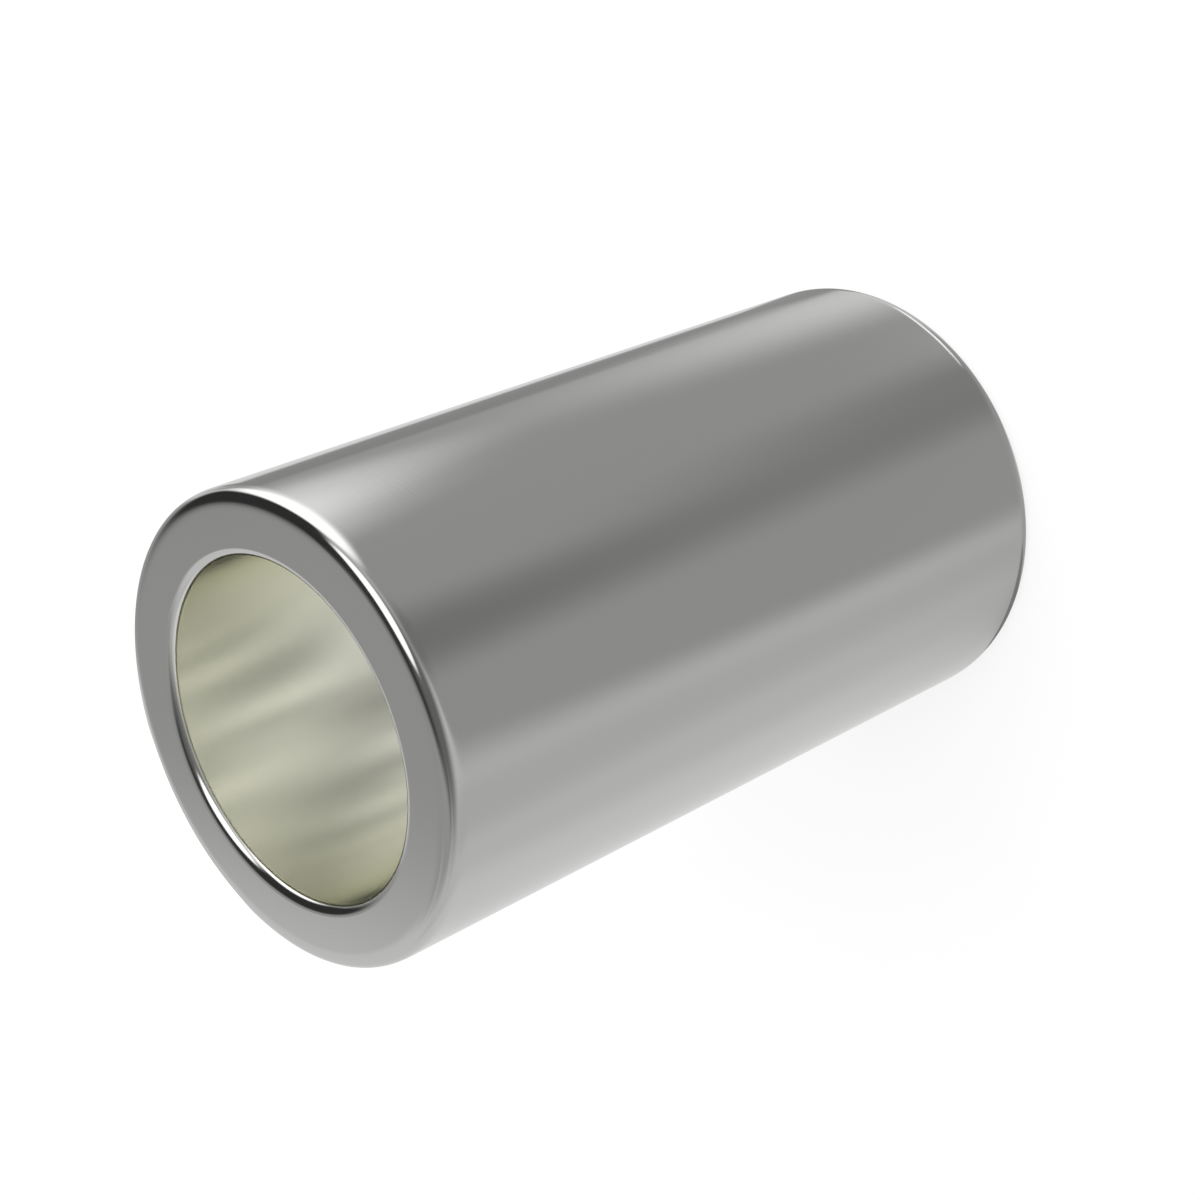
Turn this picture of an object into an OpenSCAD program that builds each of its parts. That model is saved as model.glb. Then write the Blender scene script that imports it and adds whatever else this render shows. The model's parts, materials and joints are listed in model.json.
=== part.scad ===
// Spacer sleeve: a plain tube, turned from bar as one piece.
// It stands on one end face with its axis up +Z. The origin is the centre of that face.
// All sizes are in millimetres.

/* [Sleeve] */
// Diameter of the bore that the bolt passes through
bore_d = 13; // [4:0.5:40]
// Thickness of the wall between the bore and the outside
wall = 2.5; // [1.2:0.1:8]
// Distance between the two end faces, which is the gap the sleeve keeps
length = 32; // [3:0.5:120]

/* [Edges] */
// Radius that rounds the outer edge at each end
outer_edge_r = 0.5; // [0.1:0.05:0.6]
// Radius that rounds the edge of the bore at each end
bore_edge_r = 0.4; // [0.1:0.05:0.5]

/* [Hidden] */
// Bore and outside as radii
bore_r = bore_d / 2;
outer_r = bore_r + wall;
// How far an edge cutter reaches past the faces that it trims
overcut = 0.2;
// Facets round the tube and round an edge, for the preview only: the exact solid is truly round
tube_fn = 180;
edge_fn = 48;

// What rounding takes off a square corner that lies at the origin with its sides along +X and +Y
module corner_waste(r) {
    difference() {
        translate([-overcut, -overcut]) square(r + overcut);
        translate([r, r]) circle(r = r, $fn = edge_fn);
    }
}

// Both corners at the lower end of the wall's section: the bore's edge and the outer edge
module end_waste() {
    translate([bore_r, 0]) corner_waste(bore_edge_r);
    translate([outer_r, 0]) mirror([1, 0]) corner_waste(outer_edge_r);
}

// Section of the wall on one side of the axis, with its four corners rounded
module wall_section() {
    difference() {
        translate([bore_r, 0]) square([wall, length]);
        end_waste();
        translate([0, length]) mirror([0, 1]) end_waste();
    }
}

// The whole sleeve: the wall's section turned about the axis
module sleeve() {
    color("silver") rotate_extrude($fn = tube_fn) wall_section();
}

sleeve();
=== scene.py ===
"""A spacer sleeve in finely turned steel, standing on its end on a pale studio floor."""

import json
from math import cos, pi, radians, sin

import bmesh
import bpy
from mathutils import Matrix, Vector


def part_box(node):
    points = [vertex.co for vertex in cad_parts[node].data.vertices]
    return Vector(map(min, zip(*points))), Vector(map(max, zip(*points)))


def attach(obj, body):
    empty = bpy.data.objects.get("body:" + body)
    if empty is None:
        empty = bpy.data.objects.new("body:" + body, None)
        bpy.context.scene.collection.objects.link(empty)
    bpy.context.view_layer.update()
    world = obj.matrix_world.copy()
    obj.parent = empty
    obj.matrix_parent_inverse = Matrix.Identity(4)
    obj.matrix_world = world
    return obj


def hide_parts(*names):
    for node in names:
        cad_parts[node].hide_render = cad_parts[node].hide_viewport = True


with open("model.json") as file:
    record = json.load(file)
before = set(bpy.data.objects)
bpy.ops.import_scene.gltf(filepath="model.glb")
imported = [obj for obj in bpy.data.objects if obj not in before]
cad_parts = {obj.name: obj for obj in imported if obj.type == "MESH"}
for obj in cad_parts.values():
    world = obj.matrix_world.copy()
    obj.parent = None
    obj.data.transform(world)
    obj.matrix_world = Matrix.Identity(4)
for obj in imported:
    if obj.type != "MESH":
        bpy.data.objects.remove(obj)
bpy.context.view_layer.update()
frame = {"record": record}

# Sleeve.
# The one piece: a steel tube turned from bar, bored through, faced square at both ends and
# rounded at all four edges.
low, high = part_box("sleeve")
length = high.z - low.z
outer_r = min(high.x - low.x, high.y - low.y) / 2
bore_r = frame["record"]["mounts"][0]["dims"]["r_mm"] / 1000
mid_wall_r = (outer_r + bore_r) / 2
around = 256

# How far each rounding reaches from its corner, and how full its curve is, where 0.5 is a true
# arc. The outer edge's fuller curve lies within 0.02 mm of the solid's 0.5 mm radius.
outer_edge = 0.0008
outer_fullness = 0.65
bore_edge = 0.0004
bore_fullness = 0.5
edge_steps = 14


def select_rims(radius):
    """Selects the sharp circles at that distance from the axis, at both ends."""
    near = 1e-6
    mesh = bmesh.from_edit_mesh(sleeve.data)
    for face in mesh.faces:
        face.select = False
    for edge in mesh.edges:
        start, end = (vert.co for vert in edge.verts)
        at_radius = abs(start.xy.length - radius) < near and abs(end.xy.length - radius) < near
        edge.select = at_radius and abs(start.z - end.z) < near
    mesh.select_flush_mode()
    bmesh.update_edit_mesh(sleeve.data)


bpy.ops.object.select_all(action="DESELECT")
bpy.ops.mesh.primitive_cylinder_add(
    vertices=around, radius=outer_r, depth=length, end_fill_type="NGON", location=(0, 0, length / 2)
)
sleeve = bpy.context.object
sleeve.name = "turned_sleeve"
bpy.ops.object.transform_apply(location=True)

# Both ends are inset to the bore, and the two inner faces are bridged into the bore's wall.
bpy.ops.object.mode_set(mode="EDIT")
bpy.ops.mesh.select_mode(type="FACE")
mesh = bmesh.from_edit_mesh(sleeve.data)
faces_an_end = 0.9
for face in mesh.faces:
    face.select = abs(face.normal.z) > faces_an_end
bmesh.update_edit_mesh(sleeve.data)
bpy.ops.mesh.inset(thickness=outer_r - bore_r, use_even_offset=True)
mesh = bmesh.from_edit_mesh(sleeve.data)
for vert in mesh.verts:
    vert_r = vert.co.xy.length
    if vert_r < mid_wall_r:
        vert.co.xy *= bore_r / vert_r
bmesh.update_edit_mesh(sleeve.data)
bpy.ops.mesh.bridge_edge_loops()

# The four edges are rounded, and the flat faces keep flat shading up to the radii. Blender weighs
# faces as small as these alike, so the normals are worked out on the sleeve at many times its size.
bpy.ops.mesh.select_mode(type="EDGE")
for rim_r, reach, fullness in (
    (outer_r, outer_edge, outer_fullness),
    (bore_r, bore_edge, bore_fullness),
):
    select_rims(rim_r)
    bpy.ops.mesh.bevel(offset=reach, segments=edge_steps, profile=fullness, affect="EDGES")
bpy.ops.mesh.select_all(action="SELECT")
bpy.ops.mesh.normals_make_consistent(inside=False)
bpy.ops.object.mode_set(mode="OBJECT")
bpy.ops.object.shade_smooth()
enlarged = 1000
sleeve.data.transform(Matrix.Scale(enlarged, 4))
weighted = sleeve.modifiers.new("flat faces stay flat", "WEIGHTED_NORMAL")
bpy.ops.object.modifier_apply(modifier=weighted.name)
sleeve.data.transform(Matrix.Scale(1 / enlarged, 4))

# Stainless steel. The bore is brighter than the outside and a little less polished, with a straw
# tint. The change lies on the bore's edge, in the first tenth of a millimetre outside the bore.
steel_colour = (0.6, 0.6, 0.587, 1)
bore_colour = (0.955, 0.955, 0.908, 1)
tint_fades_from = bore_r + 0.00003
tint_ends_at = bore_r + 0.0001
steel = bpy.data.materials.new("turned steel")
steel.use_nodes = True
nodes, links = steel.node_tree.nodes, steel.node_tree.links
surface = nodes["Principled BSDF"]
surface.inputs["Metallic"].default_value = 1.0
place = nodes.new("ShaderNodeTexCoord")
across = nodes.new("ShaderNodeVectorMath")
across.operation = "MULTIPLY"
across.inputs[1].default_value = (1, 1, 0)
links.new(place.outputs["Object"], across.inputs[0])
from_axis = nodes.new("ShaderNodeVectorMath")
from_axis.operation = "LENGTH"
links.new(across.outputs["Vector"], from_axis.inputs[0])
in_bore = nodes.new("ShaderNodeMapRange")
in_bore.inputs["From Min"].default_value = tint_ends_at
in_bore.inputs["From Max"].default_value = tint_fades_from
links.new(from_axis.outputs["Value"], in_bore.inputs["Value"])
tone = nodes.new("ShaderNodeMix")
tone.data_type = "RGBA"
tone.inputs["A"].default_value = steel_colour
tone.inputs["B"].default_value = bore_colour
links.new(in_bore.outputs["Result"], tone.inputs["Factor"])
links.new(tone.outputs["Result"], surface.inputs["Base Color"])

# The polish varies softly from place to place, by a few millimetres at a time.
patches_per_metre = 180
outside_smoothest, outside_roughest = 0.085, 0.115
bore_smoothest, bore_roughest = 0.135, 0.165
patches = nodes.new("ShaderNodeTexNoise")
patches.inputs["Scale"].default_value = patches_per_metre
patches.inputs["Detail"].default_value = 2
links.new(place.outputs["Object"], patches.inputs["Vector"])
outside_polish = nodes.new("ShaderNodeMapRange")
outside_polish.inputs["To Min"].default_value = outside_smoothest
outside_polish.inputs["To Max"].default_value = outside_roughest
links.new(patches.outputs["Fac"], outside_polish.inputs["Value"])
bore_polish = nodes.new("ShaderNodeMapRange")
bore_polish.inputs["To Min"].default_value = bore_smoothest
bore_polish.inputs["To Max"].default_value = bore_roughest
links.new(patches.outputs["Fac"], bore_polish.inputs["Value"])
polish = nodes.new("ShaderNodeMix")
links.new(in_bore.outputs["Result"], polish.inputs["Factor"])
links.new(outside_polish.outputs["Result"], polish.inputs["A"])
links.new(bore_polish.outputs["Result"], polish.inputs["B"])
links.new(polish.outputs["Result"], surface.inputs["Roughness"])

# Turning marks a tenth of a millimetre apart run round the wall and the bore, and in rings on the
# end faces. The tool's feed is along the axis there and along the radius here.
marks_per_metre = 9000
groove_depth = 3e-7
along_axis = nodes.new("ShaderNodeSeparateXYZ")
links.new(place.outputs["Object"], along_axis.inputs[0])
feed = nodes.new("ShaderNodeMath")
feed.operation = "SUBTRACT"
links.new(along_axis.outputs["Z"], feed.inputs[0])
links.new(from_axis.outputs["Value"], feed.inputs[1])
marks = nodes.new("ShaderNodeTexNoise")
marks.noise_dimensions = "1D"
marks.inputs["Scale"].default_value = marks_per_metre
marks.inputs["Detail"].default_value = 1
links.new(feed.outputs[0], marks.inputs["W"])
grooves = nodes.new("ShaderNodeBump")
grooves.inputs["Strength"].default_value = 1.0
grooves.inputs["Distance"].default_value = groove_depth
links.new(marks.outputs["Fac"], grooves.inputs["Height"])
links.new(grooves.outputs["Normal"], surface.inputs["Normal"])

sleeve.data.materials.append(steel)
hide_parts("sleeve")
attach(sleeve, "root")

# Camera.
# It looks at the middle of the sleeve from 40 degrees above the end face, and is rolled so that
# the sleeve's top points down to the left as in the photograph.
aim_above_middle = 0.00006
middle = Vector((0, 0, length / 2 + aim_above_middle))
camera_distance = 0.0988
camera_elevation = radians(40.03)
camera_roll = radians(-112.92)
back = Vector((0, -cos(camera_elevation), sin(camera_elevation)))
bpy.ops.object.camera_add(location=middle + back * camera_distance)
camera = bpy.context.object
facing = (-back).to_track_quat("-Z", "Y").to_matrix()
camera.rotation_euler = (facing @ Matrix.Rotation(camera_roll, 3, "Z")).to_euler()
camera.data.sensor_width = 36
camera.data.lens = 75.43
camera.data.clip_start = 0.005
bpy.context.scene.camera = camera


# Floor.
# A sheet of white paper, larger than any view takes in. The light falls on plain matt paper. To
# the camera most of its white is its own, so that only a faint shadow of the sleeve shows on it.
def white_for(nodes, links):
    """A socket that is 1 where the camera, metal or glass looks on, and 0 for the light itself."""
    path = nodes.new("ShaderNodeLightPath")
    camera_or_metal = nodes.new("ShaderNodeMath")
    camera_or_metal.operation = "MAXIMUM"
    links.new(path.outputs["Is Camera Ray"], camera_or_metal.inputs[0])
    links.new(path.outputs["Is Glossy Ray"], camera_or_metal.inputs[1])
    or_glass = nodes.new("ShaderNodeMath")
    or_glass.operation = "MAXIMUM"
    links.new(camera_or_metal.outputs[0], or_glass.inputs[0])
    links.new(path.outputs["Is Transmission Ray"], or_glass.inputs[1])
    return or_glass.outputs[0]


matt_paper = (0.8, 0.8, 0.8, 1)
shaded_share = (0.25, 0.25, 0.25, 1)
own_white = 0.78
bpy.ops.mesh.primitive_plane_add(size=3)
floor = bpy.context.object
floor.name = "floor"
paper = bpy.data.materials.new("white paper")
paper.use_nodes = True
nodes, links = paper.node_tree.nodes, paper.node_tree.links
nodes.remove(nodes["Principled BSDF"])
matt = nodes.new("ShaderNodeBsdfDiffuse")
matt.inputs["Color"].default_value = matt_paper
shaded = nodes.new("ShaderNodeBsdfDiffuse")
shaded.inputs["Color"].default_value = shaded_share
glow = nodes.new("ShaderNodeEmission")
glow.inputs["Strength"].default_value = own_white
white = nodes.new("ShaderNodeAddShader")
links.new(shaded.outputs[0], white.inputs[0])
links.new(glow.outputs[0], white.inputs[1])
either = nodes.new("ShaderNodeMixShader")
links.new(white_for(nodes, links), either.inputs[0])
links.new(matt.outputs[0], either.inputs[1])
links.new(white.outputs[0], either.inputs[2])
links.new(either.outputs[0], nodes["Material Output"].inputs["Surface"])
floor.data.materials.append(paper)

# Room.
# Plain white all round where it is looked at, and a plain level of light elsewhere.
light_level = 0.7
room = bpy.data.worlds.new("white room")
bpy.context.scene.world = room
room.use_nodes = True
nodes, links = room.node_tree.nodes, room.node_tree.links
level = nodes.new("ShaderNodeMapRange")
level.inputs["To Min"].default_value = light_level
level.inputs["To Max"].default_value = 1.0
links.new(white_for(nodes, links), level.inputs["Value"])
links.new(level.outputs["Result"], nodes["Background"].inputs["Strength"])
nodes["Background"].inputs["Color"].default_value = (1, 1, 1, 1)

# Light tent.
# A round tent of pale cloth that only the metal sees, hung with soft-edged grey and black panels
# and with lit windows. The camera and the floor see the plain white room through it, and the
# metal sees the tent's lower half through the floor.
floor.visible_glossy = False
bpy.ops.mesh.primitive_uv_sphere_add(segments=96, ring_count=48, radius=0.7)
tent = bpy.context.object
tent.name = "light_tent"
tent.visible_camera = False
tent.visible_diffuse = False
tent.visible_transmission = False
tent.visible_shadow = False
cloth = bpy.data.materials.new("tent cloth")
cloth.use_nodes = True
cloth.cycles.emission_sampling = "NONE"
nodes, links = cloth.node_tree.nodes, cloth.node_tree.links
nodes.remove(nodes["Principled BSDF"])

# Each point of the cloth by its azimuth, 0 along +Y and 90 degrees along +X, and its elevation.
# The camera stands at an azimuth of 180 degrees.
place = nodes.new("ShaderNodeTexCoord")
unit = nodes.new("ShaderNodeVectorMath")
unit.operation = "NORMALIZE"
links.new(place.outputs["Object"], unit.inputs[0])
parts = nodes.new("ShaderNodeSeparateXYZ")
links.new(unit.outputs["Vector"], parts.inputs[0])
azimuth = nodes.new("ShaderNodeMath")
azimuth.operation = "ARCTAN2"
links.new(parts.outputs["X"], azimuth.inputs[0])
links.new(parts.outputs["Y"], azimuth.inputs[1])
elevation = nodes.new("ShaderNodeMath")
elevation.operation = "ARCSINE"
links.new(parts.outputs["Z"], elevation.inputs[0])
bearing = nodes.new("ShaderNodeCombineXYZ")
links.new(azimuth.outputs[0], bearing.inputs["X"])
links.new(elevation.outputs[0], bearing.inputs["Y"])

# Azimuth and elevation of each panel's middle and half its width and height, in degrees, then
# the softness of its edge and its grey, where more than 1 is a lit window. Later panels hang in
# front of earlier ones, and the first hangs in front of the plain cloth.
plain_cloth = (0.77, 0.77, 0.77, 1)
all_round = 2000
panels = [
    ("left cloth", -100, 10, 55, 60, 0.1, 0.7),
    ("dark roof", 0, 85, all_round, 34, 0.1, 0.05),
    ("grey roof", -45, 60, 60, 17, 0.6, 0.44),
    ("camera cloth", -170, 40, 65, 35, 0.6, 0.18),
    ("lower cloth", 115, -55, 115, 60, 0.1, 0.42),
    ("left strip", -115, -25, 14, 34, 0.6, 0.61),
    ("back cloth", -20, -20, 60, 45, 0.15, 0.78),
    ("dark edge", 37, -47, 11, 24, 0.1, 0.31),
    ("dark foot", 150, -52, 19, 10, 0.6, 0.31),
    ("dark strip", 165, -20, 15, 25, 0.6, 0.25),
    ("pale foot", 63, -57, 25, 14, 0.6, 0.88),
    ("under cloth", -60, -64, 125, 15, 0.5, 0.49),
    ("end face cloth", 4, 15, 34, 42, 0.1, 0.42),
    ("pale cloth", -21, 3, 29, 37, 0.1, 0.78),
    ("back window", -3, -4, 6, 8, 0.1, 2.4),
    ("black flag", 59, 33, 45, 31, 0.2, 0.04),
    ("window skirt", 73, -27, 19, 8, 0.5, 1),
    ("side window", 90, -5, 35, 26, 0.25, 1.7),
    ("high window", 138, 50, 38, 23, 0.15, 1.7),
    ("low window", 107, -52.5, 30, 2, 0.1, 1.75),
    ("far rim's grey line", 30, -49, 17, 4, 0.1, 0.33),
    ("left outline's dark line", -60, -54, 50, 6, 0.1, 0.25),
]
behind = None
for name, side, up, half_width, half_height, soft, grey in panels:
    away = nodes.new("ShaderNodeVectorMath")
    away.operation = "SUBTRACT"
    away.inputs[1].default_value = (radians(side), radians(up), 0)
    links.new(bearing.outputs[0], away.inputs[0])
    shorter_way = nodes.new("ShaderNodeVectorMath")
    shorter_way.operation = "WRAP"
    shorter_way.inputs[1].default_value = (pi, pi, 1)
    shorter_way.inputs[2].default_value = (-pi, -pi, -1)
    links.new(away.outputs["Vector"], shorter_way.inputs[0])
    share = nodes.new("ShaderNodeVectorMath")
    share.operation = "DIVIDE"
    share.inputs[1].default_value = (radians(half_width), radians(half_height), 1)
    links.new(shorter_way.outputs["Vector"], share.inputs[0])
    from_middle = nodes.new("ShaderNodeVectorMath")
    from_middle.operation = "LENGTH"
    links.new(share.outputs["Vector"], from_middle.inputs[0])
    edge = nodes.new("ShaderNodeMapRange")
    edge.interpolation_type = "SMOOTHSTEP"
    edge.inputs["From Min"].default_value = 1 + soft
    edge.inputs["From Max"].default_value = 1 - soft
    links.new(from_middle.outputs["Value"], edge.inputs["Value"])
    hung = nodes.new("ShaderNodeMix")
    hung.label = name
    hung.data_type = "RGBA"
    hung.inputs["A"].default_value = plain_cloth
    hung.inputs["B"].default_value = (grey, grey, grey, 1)
    links.new(edge.outputs["Result"], hung.inputs["Factor"])
    if behind:
        links.new(behind, hung.inputs["A"])
    behind = hung.outputs["Result"]
lit = nodes.new("ShaderNodeEmission")
links.new(behind, lit.inputs["Color"])
links.new(lit.outputs[0], nodes["Material Output"].inputs["Surface"])
tent.data.materials.append(cloth)


# Lamps.
# Two soft lamps stand near the tent's windows. They light the floor, and give it its soft shadow.
def soft_lamp(name, side, up, distance, width, watts):
    """An area lamp facing the sleeve, from an azimuth and elevation as in the tent."""
    lamp = bpy.data.lights.new(name, "AREA")
    lamp.size = width
    lamp.energy = watts
    stand = bpy.data.objects.new(name, lamp)
    bpy.context.scene.collection.objects.link(stand)
    turn = radians(side)
    rise = radians(up)
    out = Vector((sin(turn) * cos(rise), cos(turn) * cos(rise), sin(rise)))
    stand.location = middle + out * distance
    stand.rotation_euler = out.to_track_quat("Z", "Y").to_euler()
    stand.visible_camera = False
    stand.visible_glossy = False


soft_lamp("high lamp", side=142, up=50, distance=0.4, width=0.3, watts=0.7)
soft_lamp("side lamp", side=85, up=25, distance=0.4, width=0.3, watts=0.5)

# Light runs down the bore by a dozen reflections.
bore_bounces = 12
bpy.context.scene.cycles.max_bounces = bore_bounces
bpy.context.scene.cycles.glossy_bounces = bore_bounces
bpy.context.scene.view_settings.view_transform = "Standard"
